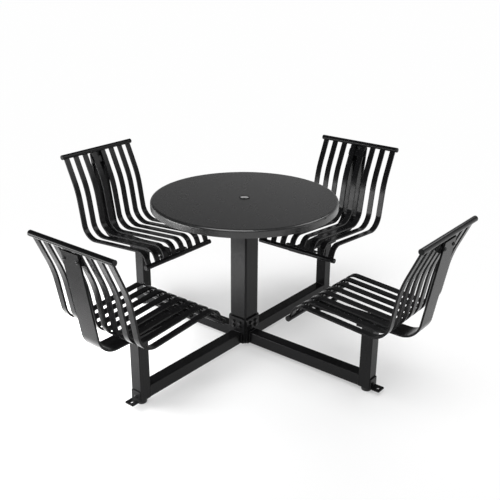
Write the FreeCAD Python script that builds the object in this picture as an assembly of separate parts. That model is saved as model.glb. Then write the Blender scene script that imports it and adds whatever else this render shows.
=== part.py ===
"""Round outdoor steel table with four swivel seats on one bolted cross base.

Millimetres, +Z up, origin on the floor under the column. The arms lie along +X, +Y, -X and -Y.
A seat is drawn once on the +X arm, in its side plane of radius from the column and height,
and turned about Z to the other arms.
"""

import FreeCAD
import Part

import math
import os

# Table top
top_diameter = 914.4
top_height = 788.0
top_sheet = 4.0
top_skirt = 38.1
top_edge_radius = 12.7
top_plate_side = 300.0
top_plate_thickness = 9.5
top_plate_corner = 20.0
rib_thickness = 6.0
rib_depth = 30.0
rib_tip_depth = 12.0
rib_end_gap = 40.0

# Umbrella hole and its liner
liner_bore = 42.0
liner_wall = 2.0
liner_length = 60.0
liner_flange_width = 2.5
liner_flange_thickness = 2.5
liner_clearance = 0.3

# Column and hub
column_side = 101.6
column_wall = 5.0
column_corner = 8.0
column_cap_thickness = 6.0
hub_plate_width = 100.0
hub_plate_height = 138.0
hub_plate_thickness = 9.5
hub_plate_corner = 12.0
hub_bolt_diameter = 10.0
hub_head_diameter = 17.0
hub_head_height = 9.0
hub_bolt_spacing = 40.0
hub_upper_drop = 26.0
hub_bolt_row_gap = 24.0
hub_bolt_reach = 8.0

# Arms and posts
post_radius = 737.0
tube_side = 60.0
tube_wall = 3.2
tube_corner = 4.0
tube_inner_corner = 0.8
tube_ground_clearance = 22.5
post_end_plate_thickness = 8.0

# Levelling feet
foot_diameter = 48.0
foot_edge_radius = 4.0
foot_stem_diameter = 16.0
foot_stem_length = 55.0

# Anchor clips at the posts
clip_width = 52.0
clip_leg = 50.0
clip_tab = 50.0
clip_thickness = 6.0
clip_corner = 6.0
clip_hole_diameter = 13.0
clip_hole_inset = 19.0
clip_bolt_diameter = 8.0
clip_head_diameter = 15.0
clip_head_height = 5.5
clip_bolt_height = 22.0
clip_bolt_reach = 6.0

# Swivel
swivel_plate_side = 100.0
swivel_plate_corner = 8.0
swivel_plate_thickness = 8.0
thrust_washer_diameter = 62.0
thrust_washer_thickness = 4.0
kingpin_diameter = 32.0
bush_wall = 4.0
sleeve_wall = 4.0
sleeve_length = 100.0
retainer_diameter = 44.0
retainer_thickness = 4.0
retainer_play = 0.5
swivel_limit = 90.0
stop_pin_diameter = 8.0
stop_pin_radius = 40.0
stop_pin_reach = 6.0
stop_margin = 1.0
swivel_bolt_diameter = 8.0
swivel_bolt_spacing = 80.0
swivel_head_diameter = 15.0
swivel_head_height = 5.0

# Seat straps and rails
strap_count = 8
strap_width = 31.8
strap_thickness = 9.5
strap_pitch = 63.5
seat_height_at_post = 426.0
seat_rise_over_spine = 60.5
seat_slope = 4.57
seat_back_reach = 198.5
seat_front_reach = 255.7
front_drop = 78.9
front_drop_angle = 68.2
front_bend = 57.0
rear_bend = 89.0
back_lower_lean = 10.1
back_lower_length = 264.5
back_flare = 500.0
back_upper_lean = 24.0
back_upper_length = 200.0
rail_diameter = 26.7
rail_wall = 3.0
rail_overhang = 12.2
rail_cap_height = 3.0
rail_cap_plug = 12.0

# Spine under and behind the seat
spine_width = 102.0
spine_thickness = 9.5
spine_lean = 9.8
spine_reach = 249.2
spine_bend = 95.0
spine_top_gap = 5.0
cross_bar_length = 200.0
cross_bar_width = 25.4
cross_bar_setback = 48.0
back_block_width = 112.0
back_block_height = 32.0
back_bolt_drop = 52.0
back_bolt_spacing = 80.0
back_bolt_diameter = 10.0
back_head_diameter = 18.0
back_head_height = 6.0
back_bolt_bite = 8.0

# Clearances
running_clearance = 0.05
bolt_clearance = 0.05
stop_clearance = 0.3

# Rounded part of a height
head_rounding_ratio = 0.6
cap_rounding_ratio = 0.7

# Limits for picking edges
parallel_angle = 25.0
edge_reach = 1.0

# Places worked out from the sizes above
arm_count = 4
turn = 360.0 / arm_count
top_underside = top_height - top_sheet
top_plate_bottom = top_underside - top_plate_thickness
column_face = column_side / 2
hub_face = column_face + hub_plate_thickness
tube_half = tube_side / 2
post_inner = post_radius - tube_half
post_outer = post_radius + tube_half
rail_radius = rail_diameter / 2
spine_top_face = seat_height_at_post - seat_rise_over_spine
spine_mid = spine_top_face - spine_thickness / 2
spine_bottom = spine_top_face - spine_thickness
swivel_top_bottom = spine_bottom - swivel_plate_thickness
swivel_base_top = swivel_top_bottom - thrust_washer_thickness
post_top = swivel_base_top - swivel_plate_thickness
strap_span = (strap_count - 1) * strap_pitch + strap_width
rail_length = strap_span + 2 * rail_overhang
AXIS_Z = FreeCAD.Vector(0, 0, 1)
OUTWARD = FreeCAD.Vector(1, 0, 0)
ORIGIN = FreeCAD.Vector(0, 0, 0)
PARALLEL = math.cos(math.radians(parallel_angle))


def side_point(radius, height, across=0.0):
    """A point of the +X arm: radius from the column, height, and distance across the arm."""
    return FreeCAD.Vector(radius, across, height)


def along(start, degrees_up, length):
    """The side-plane point a length away from start, at an angle above straight outwards."""
    angle = math.radians(degrees_up)
    return (start[0] + length * math.cos(angle), start[1] + length * math.sin(angle))


def direction(start, end):
    """Unit step between two side-plane points."""
    length = math.hypot(end[0] - start[0], end[1] - start[1])
    return ((end[0] - start[0]) / length, (end[1] - start[1]) / length)


def offset_corners(corners, distance):
    """The corners of a path moved to its left by a distance."""
    steps = [direction(a, b) for a, b in zip(corners, corners[1:])]
    normals = [(-step[1], step[0]) for step in steps]
    before = [normals[0]] + normals
    after = normals + [normals[-1]]
    moved = []
    for corner, one, two in zip(corners, before, after):
        share = distance / (1 + one[0] * two[0] + one[1] * two[1])
        moved.append((corner[0] + share * (one[0] + two[0]), corner[1] + share * (one[1] + two[1])))
    return moved


def turn_angle(before, corner, after):
    """Signed turn of a path at a corner, positive to the left."""
    one = direction(before, corner)
    two = direction(corner, after)
    return math.atan2(one[0] * two[1] - one[1] * two[0], one[0] * two[0] + one[1] * two[1])


def rounded_edges(corners, radii):
    """Lines and arcs along a path whose inner corners are rounded."""
    edges = []
    start = corners[0]
    for before, corner, after, radius in zip(corners, corners[1:], corners[2:], radii):
        angle = turn_angle(before, corner, after)
        cut = radius * math.tan(abs(angle) / 2)
        one = direction(before, corner)
        two = direction(corner, after)
        entry = (corner[0] - cut * one[0], corner[1] - cut * one[1])
        leave = (corner[0] + cut * two[0], corner[1] + cut * two[1])
        inward = direction(corner, ((entry[0] + leave[0]) / 2, (entry[1] + leave[1]) / 2))
        depth = radius / math.cos(angle / 2) - radius
        middle = (corner[0] + depth * inward[0], corner[1] + depth * inward[1])
        edges.append(Part.LineSegment(side_point(*start), side_point(*entry)).toShape())
        edges.append(Part.Arc(side_point(*entry), side_point(*middle), side_point(*leave)).toShape())
        start = leave
    edges.append(Part.LineSegment(side_point(*start), side_point(*corners[-1])).toShape())
    return edges


def band_face(corners, radii, thickness):
    """Side face of a bent flat bar that follows a path at its middle."""
    half = thickness / 2
    turns = [turn_angle(a, b, c) for a, b, c in zip(corners, corners[1:], corners[2:])]
    sides = []
    for distance in (half, -half):
        bends = [radius - math.copysign(distance, angle * distance) for radius, angle in zip(radii, turns)]
        sides.append((offset_corners(corners, distance), bends))
    edges = []
    for points, bends in sides:
        edges += rounded_edges(points, bends)
    for end in (0, -1):
        edges.append(Part.LineSegment(side_point(*sides[0][0][end]), side_point(*sides[1][0][end])).toShape())
    return Part.Face(Part.Wire(Part.__sortEdges__(edges)))


def rail_face(centre, radius):
    """Round section of a rail in the side plane."""
    circle = Part.Circle(side_point(*centre), FreeCAD.Vector(0, 1, 0), radius)
    return Part.Face(Part.Wire(circle.toShape()))


def across_bar(face, width, centre=0.0):
    """A side-plane face given a width across the arm."""
    bar = face.extrude(FreeCAD.Vector(0, width, 0))
    bar.translate(FreeCAD.Vector(0, centre - width / 2, 0))
    return bar


def rounded_square(side_x, side_y, corner, base, height, centre_x=0.0):
    """Upright block with rounded upright edges."""
    block = Part.makeBox(side_x, side_y, height, FreeCAD.Vector(centre_x - side_x / 2, -side_y / 2, base))
    corners = [edge for edge in block.Edges if abs(edge.tangentAt(edge.FirstParameter).z) > PARALLEL]
    return block.makeFillet(corner, corners)


def square_tube(side, wall, corner, base, height, centre_x=0.0):
    """Upright square tube, open at both ends."""
    outside = rounded_square(side, side, corner, base, height, centre_x)
    bore = side - 2 * wall
    bore_corner = max(corner - wall, tube_inner_corner)
    return outside.cut(rounded_square(bore, bore, bore_corner, base, height, centre_x))


def upright(diameter, base, height, radius=0.0, across=0.0):
    """Upright cylinder at a place on the +X arm."""
    return Part.makeCylinder(diameter / 2, height, FreeCAD.Vector(radius, across, base), AXIS_Z)


def headed_bolt(head_diameter, head_height, shank_diameter, shank_length):
    """Bolt on the Z axis: seat of the head at 0, domed head above, shank below."""
    head = Part.makeCylinder(head_diameter / 2, head_height)
    rim = [edge for edge in head.Edges if edge.BoundBox.ZMin > head_height / 2]
    head = head.makeFillet(head_height * head_rounding_ratio, rim)
    shank = Part.makeCylinder(shank_diameter / 2, shank_length, FreeCAD.Vector(0, 0, -shank_length))
    return head.fuse(shank)


def aim(shape, outward, place):
    """Turn a shape from the Z axis to a direction and move it to a place."""
    placed = shape.copy()
    placed.Placement = FreeCAD.Placement(place, FreeCAD.Rotation(AXIS_Z, outward))
    return placed


def at_arm(shape, index):
    """A shape of the +X arm turned to another arm."""
    turned = shape.copy()
    turned.rotate(ORIGIN, AXIS_Z, turn * index)
    return turned


def export(name, solids):
    """Write one node."""
    Part.makeCompound(solids).exportStep("parts/" + name + ".step")


def export_ring(name, solids):
    """Write one node holding the same pieces at every arm."""
    export(name, [at_arm(solid, index) for index in range(arm_count) for solid in solids])


def export_each(name, solids):
    """Write one node per arm."""
    for index in range(arm_count):
        export(name.format(index + 1), [at_arm(solid, index) for solid in solids])


def seat_path():
    """Corners of a strap at its middle, from the front rail over the seat and up the back."""
    post = (post_radius, seat_height_at_post)
    rear = along(post, -seat_slope, seat_back_reach / math.cos(math.radians(seat_slope)))
    front = along(post, 180 - seat_slope, seat_front_reach / math.cos(math.radians(seat_slope)))
    low = along(front, 180 + front_drop_angle, front_drop)
    flare = along(rear, 90 - back_lower_lean, back_lower_length)
    high = along(flare, 90 - back_upper_lean, back_upper_length)
    return [low, front, rear, flare, high]


def spine_path():
    """Corners of the spine at its middle, from the front rail back under the seat and up."""
    corner = (post_radius + spine_reach, spine_mid)
    rise = top_rail[1] - rail_radius - spine_top_gap - spine_mid
    tip = along(corner, 90 - spine_lean, rise / math.cos(math.radians(spine_lean)))
    return [(front_rail[0], spine_mid), corner, tip]


def radius_on_line(point, lean, height):
    """Radius at a height on a line that leans back from the upright."""
    return point[0] + (height - point[1]) * math.tan(math.radians(lean))


strap_corners = seat_path()
front_rail = strap_corners[0]
top_rail = strap_corners[-1]
spine_corners = spine_path()


def make_table_top():
    """Pressed round top with a rolled edge, a skirt and the umbrella hole."""
    outer = top_diameter / 2
    inner = outer - top_sheet
    hole = liner_bore / 2 + liner_wall + liner_clearance
    corner = top_edge_radius
    skirt_low = top_height - top_skirt
    bend = math.sqrt(0.5)
    outside_middle = side_point(outer - corner + corner * bend, top_height - corner + corner * bend)
    inside_bend = corner - top_sheet
    inside_middle = side_point(outer - corner + inside_bend * bend, top_height - corner + inside_bend * bend)
    points = [
        side_point(hole, top_underside),
        side_point(hole, top_height),
        side_point(outer - corner, top_height),
        side_point(outer, top_height - corner),
        side_point(outer, skirt_low),
        side_point(inner, skirt_low),
        side_point(inner, top_height - corner),
        side_point(outer - corner, top_underside),
    ]
    edges = [
        Part.LineSegment(points[0], points[1]).toShape(),
        Part.LineSegment(points[1], points[2]).toShape(),
        Part.Arc(points[2], outside_middle, points[3]).toShape(),
        Part.LineSegment(points[3], points[4]).toShape(),
        Part.LineSegment(points[4], points[5]).toShape(),
        Part.LineSegment(points[5], points[6]).toShape(),
        Part.Arc(points[6], inside_middle, points[7]).toShape(),
        Part.LineSegment(points[7], points[0]).toShape(),
    ]
    export("table_top", [Part.Face(Part.Wire(edges)).revolve(ORIGIN, AXIS_Z, 360)])


def make_umbrella_liner():
    """Flanged sleeve that an umbrella pole slides through."""
    outside = liner_bore + 2 * liner_wall
    sleeve = upright(outside, top_height - liner_length, liner_length)
    flange = upright(outside + 2 * liner_flange_width, top_height, liner_flange_thickness)
    rim = [edge for edge in flange.Edges if edge.BoundBox.ZMin > top_height + liner_flange_thickness / 2]
    flange = flange.makeFillet(liner_flange_thickness * head_rounding_ratio, rim)
    bore = upright(liner_bore, top_height - liner_length, liner_length + liner_flange_thickness)
    export("umbrella_liner", [sleeve.fuse(flange).cut(bore)])


def make_top_carrier():
    """Square plate on the column and the tapered ribs that carry the sheet."""
    side = top_plate_side
    plate = rounded_square(side, side, top_plate_corner, top_plate_bottom, top_plate_thickness)
    hole = liner_bore + 2 * (liner_wall + liner_clearance)
    export("top_plate", [plate.cut(upright(hole, top_plate_bottom, top_plate_thickness))])
    plate_edge = side / 2
    tip = top_diameter / 2 - rib_end_gap
    outline = [
        side_point(column_face, top_plate_bottom),
        side_point(plate_edge, top_plate_bottom),
        side_point(plate_edge, top_underside),
        side_point(tip, top_underside),
        side_point(tip, top_underside - rib_tip_depth),
        side_point(plate_edge, top_underside - rib_depth),
        side_point(column_face, top_underside - rib_depth),
    ]
    face = Part.Face(Part.makePolygon(outline + outline[:1]))
    export_ring("top_ribs", [across_bar(face, rib_thickness)])


def hub_bolt_places():
    """Across and up places of the bolts in one hub plate."""
    upper = tube_ground_clearance + hub_plate_height - hub_upper_drop
    places = []
    for side in (-1, 1):
        across = side * hub_bolt_spacing / 2
        places += [(across, upper), (across, upper - hub_bolt_row_gap)]
    return places


def hub_drills():
    """Drills through one hub plate and the column wall behind it."""
    radius = hub_bolt_diameter / 2 + bolt_clearance
    places = [side_point(0, height, across) for across, height in hub_bolt_places()]
    return Part.makeCompound([Part.makeCylinder(radius, hub_face, place, OUTWARD) for place in places])


def make_hub():
    """Square column, its bottom cap, and the end plates that bolt the arms to it."""
    column_height = top_plate_bottom - tube_ground_clearance
    column = square_tube(column_side, column_wall, column_corner, tube_ground_clearance, column_height)
    drills = hub_drills()
    for index in range(arm_count):
        column = column.cut(at_arm(drills, index))
    export("column", [column])
    bore = column_side - 2 * column_wall - 2 * bolt_clearance
    corner = column_corner - column_wall
    export("column_cap", [rounded_square(bore, bore, corner, tube_ground_clearance, column_cap_thickness)])
    plate = Part.makeBox(
        hub_plate_thickness,
        hub_plate_width,
        hub_plate_height,
        side_point(column_face, tube_ground_clearance, -hub_plate_width / 2),
    )
    corners = [edge for edge in plate.Edges if abs(edge.tangentAt(edge.FirstParameter).x) > PARALLEL]
    export_ring("hub_plates", [plate.makeFillet(hub_plate_corner, corners).cut(drills)])
    shank = hub_plate_thickness + column_wall + hub_bolt_reach
    bolt = headed_bolt(hub_head_diameter, hub_head_height, hub_bolt_diameter, shank)
    places = [side_point(hub_face, height, across) for across, height in hub_bolt_places()]
    export_ring("hub_bolts", [aim(bolt, OUTWARD, place) for place in places])


def make_arms():
    """Square tubes from the hub plates to the posts."""
    length = post_inner - hub_face
    tube = square_tube(tube_side, tube_wall, tube_corner, 0, length)
    tube = aim(tube, OUTWARD, side_point(hub_face, tube_ground_clearance + tube_half))
    export_each("arm_{}", [tube])


def clip_drill():
    """Drill for a clip bolt, through the outer wall of the post and the clip on it."""
    radius = clip_bolt_diameter / 2 + bolt_clearance
    place = side_point(post_radius, tube_ground_clearance + clip_bolt_height)
    return Part.makeCylinder(radius, tube_side, place, OUTWARD)


def make_posts():
    """Square posts with a threaded plate in the bottom end."""
    low = tube_ground_clearance
    post = square_tube(tube_side, tube_wall, tube_corner, low, post_top - low, post_radius)
    export_each("post_{}", [post.cut(clip_drill())])
    bore = tube_side - 2 * tube_wall - 2 * bolt_clearance
    plate = rounded_square(bore, bore, tube_inner_corner, low, post_end_plate_thickness, post_radius)
    hole = foot_stem_diameter + 2 * running_clearance
    plate = plate.cut(upright(hole, low, post_end_plate_thickness, post_radius))
    export_ring("post_end_plates", [plate])


def make_feet():
    """Round levelling feet screwed into the posts."""
    foot = upright(foot_diameter, 0, tube_ground_clearance, post_radius)
    rim = [edge for edge in foot.Edges if edge.BoundBox.ZMax < tube_ground_clearance / 2]
    foot = foot.makeFillet(foot_edge_radius, rim)
    stem = upright(foot_stem_diameter, tube_ground_clearance, foot_stem_length, post_radius)
    export_each("foot_{}", [foot.fuse(stem)])


def make_anchor_clips():
    """Angle clips on the outer faces of the posts, each with a hole for a ground anchor."""
    low = tube_ground_clearance
    leg = Part.makeBox(clip_thickness, clip_width, clip_leg, side_point(post_outer, low, -clip_width / 2))
    tab = Part.makeBox(clip_tab, clip_width, clip_thickness, side_point(post_outer, low, -clip_width / 2))
    clip = leg.fuse(tab).removeSplitter()
    tip = post_outer + clip_tab
    ends = [edge for edge in clip.Edges if edge.BoundBox.XMin > tip - edge_reach]
    clip = clip.makeFillet(clip_corner, [edge for edge in ends if edge.BoundBox.YLength < edge_reach])
    clip = clip.cut(upright(clip_hole_diameter, low, clip_thickness, tip - clip_hole_inset))
    export_ring("anchor_clips", [clip.cut(clip_drill())])
    shank = clip_thickness + tube_wall + clip_bolt_reach
    bolt = headed_bolt(clip_head_diameter, clip_head_height, clip_bolt_diameter, shank)
    place = side_point(post_outer + clip_thickness, low + clip_bolt_height)
    export_ring("anchor_bolts", [aim(bolt, OUTWARD, place)])


def stop_slot():
    """Curved slot that lets the seat swing to both limits about the fixed stop pin."""
    half = stop_pin_diameter / 2 + stop_clearance
    reach = math.degrees(math.asin(half / stop_pin_radius)) + swivel_limit + stop_margin
    bottom = swivel_top_bottom
    outline = [
        side_point(stop_pin_radius - half, bottom),
        side_point(stop_pin_radius + half, bottom),
        side_point(stop_pin_radius + half, spine_bottom),
        side_point(stop_pin_radius - half, spine_bottom),
    ]
    face = Part.Face(Part.makePolygon(outline + outline[:1]))
    face.rotate(ORIGIN, AXIS_Z, -reach)
    slot = face.revolve(ORIGIN, AXIS_Z, 2 * reach)
    slot.translate(FreeCAD.Vector(post_radius, 0, 0))
    return slot


def swivel_plate(base):
    """Square plate of either half of a swivel, centred over the post."""
    side = swivel_plate_side
    return rounded_square(side, side, swivel_plate_corner, base, swivel_plate_thickness, post_radius)


def make_swivel_bases():
    """Fixed half of each swivel: plate and sleeve on the post, stop pin, bush and thrust washer."""
    bush_bore = kingpin_diameter + 2 * running_clearance
    bush_outside = bush_bore + 2 * bush_wall
    sleeve_bore = bush_outside + 2 * bolt_clearance
    sleeve_low = post_top - sleeve_length
    plate = swivel_plate(post_top)
    sleeve = upright(sleeve_bore + 2 * sleeve_wall, sleeve_low, sleeve_length, post_radius)
    pin_height = thrust_washer_thickness + stop_pin_reach
    pin = upright(stop_pin_diameter, swivel_base_top, pin_height, post_radius + stop_pin_radius)
    bore_length = sleeve_length + swivel_plate_thickness
    base = plate.fuse(sleeve).fuse(pin).cut(upright(sleeve_bore, sleeve_low, bore_length, post_radius))
    export_ring("swivel_bases", [base])
    bush = upright(bush_outside, sleeve_low, bore_length, post_radius)
    export_ring("swivel_bushes", [bush.cut(upright(bush_bore, sleeve_low, bore_length, post_radius))])
    washer = upright(thrust_washer_diameter, swivel_base_top, thrust_washer_thickness, post_radius)
    hole = upright(bush_bore, swivel_base_top, thrust_washer_thickness, post_radius)
    export_ring("thrust_washers", [washer.cut(hole)])


def swivel_bolt_places():
    """Radius and across places of the bolts that hold the spine to the swivel."""
    half = swivel_bolt_spacing / 2
    return [(post_radius + one * half, two * half) for one in (-1, 1) for two in (-1, 1)]


def swivel_drills():
    """Drills through the spine and the swivel plate under it."""
    hole = swivel_bolt_diameter + 2 * bolt_clearance
    depth = spine_top_face - swivel_top_bottom
    drills = [upright(hole, swivel_top_bottom, depth, *place) for place in swivel_bolt_places()]
    return Part.makeCompound(drills)


def make_swivel_tops():
    """Turning half of each swivel: slotted plate with its kingpin."""
    plate = swivel_plate(swivel_top_bottom).cut(stop_slot()).cut(swivel_drills())
    pin_low = post_top - sleeve_length - retainer_play
    pin = upright(kingpin_diameter, pin_low, swivel_top_bottom - pin_low, post_radius)
    export_each("seat_{}_swivel", [plate.fuse(pin)])


def make_straps():
    """Bent flat straps of the seat and back, butted on both rails."""
    bends = [front_bend, rear_bend, back_flare]
    profile = band_face(strap_corners, bends, strap_thickness)
    profile = profile.cut(rail_face(front_rail, rail_radius)).cut(rail_face(top_rail, rail_radius))
    face = max(profile.Faces, key=lambda one: one.Area)
    first = -(strap_count - 1) / 2 * strap_pitch
    straps = [across_bar(face, strap_width, first + number * strap_pitch) for number in range(strap_count)]
    export_each("seat_{}_straps", straps)


def make_rail(name, centre):
    """Tube rail with a rounded cap in each end."""
    tube = across_bar(rail_face(centre, rail_radius), rail_length - 2 * rail_cap_height)
    bore = rail_radius - rail_wall
    tube = tube.cut(across_bar(rail_face(centre, bore), rail_length))
    pieces = [tube]
    for side in (-1, 1):
        end = side * (rail_length / 2 - rail_cap_height)
        outward = FreeCAD.Vector(0, side, 0)
        cap = Part.makeCylinder(rail_radius, rail_cap_height, side_point(*centre, end), outward)
        tip = abs(end) + rail_cap_height / 2
        rim = [edge for edge in cap.Edges if min(abs(edge.BoundBox.YMin), abs(edge.BoundBox.YMax)) > tip]
        cap = cap.makeFillet(rail_cap_height * cap_rounding_ratio, rim)
        inward = FreeCAD.Vector(0, -side, 0)
        plug = Part.makeCylinder(bore - bolt_clearance, rail_cap_plug, side_point(*centre, end), inward)
        pieces.append(cap.fuse(plug))
    export_each(name, pieces)


def back_bolt_frame():
    """Height of the back bolts and the outward step square to the spine."""
    height = top_rail[1] - back_bolt_drop
    lean = math.radians(spine_lean)
    outward = FreeCAD.Vector(math.cos(lean), 0, -math.sin(lean))
    return height, outward


def back_drills():
    """Drills through the top of the spine into the block behind the straps."""
    height, outward = back_bolt_frame()
    face = radius_on_line(offset_corners(spine_corners, -spine_thickness / 2)[-1], spine_lean, height)
    depth = spine_thickness + back_bolt_bite + bolt_clearance
    drills = []
    for side in (-1, 1):
        place = side_point(face, height, side * back_bolt_spacing / 2)
        drills.append(Part.makeCylinder(back_bolt_diameter / 2 + bolt_clearance, depth, place, -outward))
    return Part.makeCompound(drills)


def make_spines():
    """Wide bent bar that carries the seat from the swivel, with the cross bar and the back block."""
    face = band_face(spine_corners, [spine_bend], spine_thickness)
    face = face.cut(rail_face(front_rail, rail_radius))
    face = max(face.Faces, key=lambda one: one.Area)
    spine = across_bar(face, spine_width)
    export_each("seat_{}_spine", [spine.cut(swivel_drills()).cut(back_drills())])
    bar_front = front_rail[0] + cross_bar_setback - cross_bar_width / 2
    corner = side_point(bar_front, spine_top_face, -cross_bar_length / 2)
    bar = Part.makeBox(cross_bar_width, cross_bar_length, spine_thickness, corner)
    export_each("seat_{}_cross_bar", [bar])
    height = back_bolt_frame()[0]
    spine_inner = offset_corners(spine_corners, spine_thickness / 2)[-1]
    strap_back = offset_corners(strap_corners, -strap_thickness / 2)[-1]
    low = height - back_block_height / 2
    high = height + back_block_height / 2
    outline = [
        side_point(radius_on_line(strap_back, back_upper_lean, low), low),
        side_point(radius_on_line(spine_inner, spine_lean, low), low),
        side_point(radius_on_line(spine_inner, spine_lean, high), high),
        side_point(radius_on_line(strap_back, back_upper_lean, high), high),
    ]
    block = across_bar(Part.Face(Part.makePolygon(outline + outline[:1])), back_block_width)
    export_each("seat_{}_back_block", [block.cut(back_drills())])


def make_seat_bolts():
    """Bolts of each seat: back bolts, swivel bolts and the kingpin retainer."""
    height, outward = back_bolt_frame()
    face = radius_on_line(offset_corners(spine_corners, -spine_thickness / 2)[-1], spine_lean, height)
    back_shank = spine_thickness + back_bolt_bite
    back_bolt = headed_bolt(back_head_diameter, back_head_height, back_bolt_diameter, back_shank)
    bolts = []
    for side in (-1, 1):
        bolts.append(aim(back_bolt, outward, side_point(face, height, side * back_bolt_spacing / 2)))
    shank = spine_top_face - swivel_top_bottom
    swivel_bolt = headed_bolt(swivel_head_diameter, swivel_head_height, swivel_bolt_diameter, shank)
    for radius, across in swivel_bolt_places():
        bolts.append(aim(swivel_bolt, AXIS_Z, side_point(radius, spine_top_face, across)))
    retainer_low = post_top - sleeve_length - retainer_play - retainer_thickness
    bolts.append(upright(retainer_diameter, retainer_low, retainer_thickness, post_radius))
    export_each("seat_{}_bolts", bolts)


def main():
    os.makedirs("parts", exist_ok=True)
    make_table_top()
    make_umbrella_liner()
    make_top_carrier()
    make_hub()
    make_arms()
    make_posts()
    make_feet()
    make_anchor_clips()
    make_swivel_bases()
    make_swivel_tops()
    make_straps()
    make_rail("seat_{}_top_rail", top_rail)
    make_rail("seat_{}_front_rail", front_rail)
    make_spines()
    make_seat_bolts()


main()
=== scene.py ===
"""Looks of a round outdoor steel table with four swivel strap seats, on a pale studio floor."""

import math

import bpy
from mathutils import Matrix, Vector


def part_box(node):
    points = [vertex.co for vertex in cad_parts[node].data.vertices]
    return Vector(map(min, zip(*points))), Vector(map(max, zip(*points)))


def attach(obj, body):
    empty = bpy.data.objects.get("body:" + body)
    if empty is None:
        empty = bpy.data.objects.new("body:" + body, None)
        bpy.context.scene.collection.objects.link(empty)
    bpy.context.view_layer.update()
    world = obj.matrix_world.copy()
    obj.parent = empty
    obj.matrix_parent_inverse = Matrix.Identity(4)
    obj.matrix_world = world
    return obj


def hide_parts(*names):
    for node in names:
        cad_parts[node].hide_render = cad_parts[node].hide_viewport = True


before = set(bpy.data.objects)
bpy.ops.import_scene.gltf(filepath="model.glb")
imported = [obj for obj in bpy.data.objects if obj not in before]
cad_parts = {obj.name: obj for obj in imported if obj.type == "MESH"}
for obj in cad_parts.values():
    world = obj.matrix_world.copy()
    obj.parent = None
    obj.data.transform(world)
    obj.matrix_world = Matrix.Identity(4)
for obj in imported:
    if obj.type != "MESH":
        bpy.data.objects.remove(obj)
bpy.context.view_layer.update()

bl_info = {
    "name": "Swivel seat table",
    "version": (1, 0, 0),
    "blender": (4, 5, 0),
    "location": "View3D > Sidebar > Table",
    "description": "Coats, eased edges, welds, bolts, feet and studio of a table with swivel seats",
    "category": "Object",
}

# Posts and directions: seat 1 stands on X, the others follow in quarter turns

SEATS = (1, 2, 3, 4)
QUARTER = math.radians(90)
SIDES = (-1, 1)
OUTWARD = (1, 0, 0)
ACROSS = (0, 1, 0)
UPWARD = (0, 0, 1)

# Powder coats

PATCH_SCALE = 7.0
SMEAR_SCALE = 24.0
PATTERN_DETAIL = 3.0
PATTERN_SPAN = (0.3, 0.7)
FULL_SPAN = (0.0, 1.0)
GLOSS_FALL = 0.03
GLOSS_RISE = 0.04
PEEL_DETAIL = 1.5
PEEL_DEPTH = 0.2
COAT_IOR = 1.5
BLACK_SPECULAR = 0.17
WELD_DULLING = 0.2
BOLT_SHADE = 0.8

# Umbrella liner, with heights in metres from the top of the sheet

FLANGE_EDGE = (-0.0004, 0.0002)
# Below the collar's end the bore is painted black as painted shade in the hole
COLLAR_END = (-0.010, -0.008)
ZINC_METALLIC = 0.1
ZINC_ROUGHNESS = 0.5
LINER_DULLING = 0.3
LINER_SPECULAR = 0.05
BRUSH_SCALE = (160.0, 160.0, 1800.0)
BRUSH_STRENGTH = 0.25
BRUSH_DEPTH = 0.0002

# Edges, in metres and radians

MERGE_DISTANCE = 0.00001
CLEAN_DISTANCE = 0.000001
FLAT_ANGLE = math.radians(0.4)
SHARP_ANGLE = math.radians(40)
EASED_SMOOTHING = math.radians(50)
BOLT_SMOOTHING = math.radians(32)
HEX_SMOOTHING = math.radians(25)
FOOT_SMOOTHING = math.radians(30)

# Bolts, in metres

HUB_BOLT = {"flats": 0.016, "height": 0.0085, "shank": 0.01, "length": 0.0225}
ANCHOR_BOLT = {"head": 0.015, "height": 0.0055, "shank": 0.008, "length": 0.0152, "key": 0.005}
BACK_BOLT = {"head": 0.018, "height": 0.006, "shank": 0.01, "length": 0.0175, "key": 0.006}
SWIVEL_BOLT = {"head": 0.015, "height": 0.005, "shank": 0.008, "length": 0.0175, "key": 0.005}
TIP_LENGTH = 0.0012
WASHER = 0.0016
WASHER_EDGE = 0.0003
HEX_CHAMFER = 0.0022
HUB_BOLT_SIDE = 0.02
HUB_BOLT_HEIGHTS = (0.1345, 0.1105)
CLIP_THICKNESS = 0.006
CLIP_BOLT_HEIGHT = 0.022
SEAT_BOLT_SIDE = 0.04
BACK_BOLT_RADIUS = 1.06711
BACK_BOLT_HEIGHT = 0.80124
BACK_LEAN = math.radians(9.8)
SWIVEL_BOLT_RADII = (0.697, 0.777)
POST_RADIUS = 0.737
RETAINER = ((0.020, 0.2315), (0.022, 0.2322), (0.022, 0.2348), (0.0205, 0.2355))

# Bolt shapes: radii as shares of the shank, the corner or the head, heights of the head's own

TIP_SHARE = 0.42
HEX_SEAT = 0.9
HEX_BLANK = 1.02
HEX_TOP = 0.84
WASHER_FLAT = 1.1
WASHER_RIM = 1.14
BUTTON_HEAD = (
    (0.5, 0.0), (0.5, 0.2), (0.48, 0.24), (0.46, 0.5), (0.4, 0.78), (0.32, 0.94), (0.24, 1.0),
)
HEAD_VERTICES = 36
TURNED_VERTICES = 48

# Weld beads, as shares of their radius

RIPPLE_PITCH = 0.85
RIPPLE_LOW = 0.84
BEAD_END = 0.5
BEAD_VERTICES = 8
FEWEST_RIPPLES = 5

# Places and lengths of the welds, in metres

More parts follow.
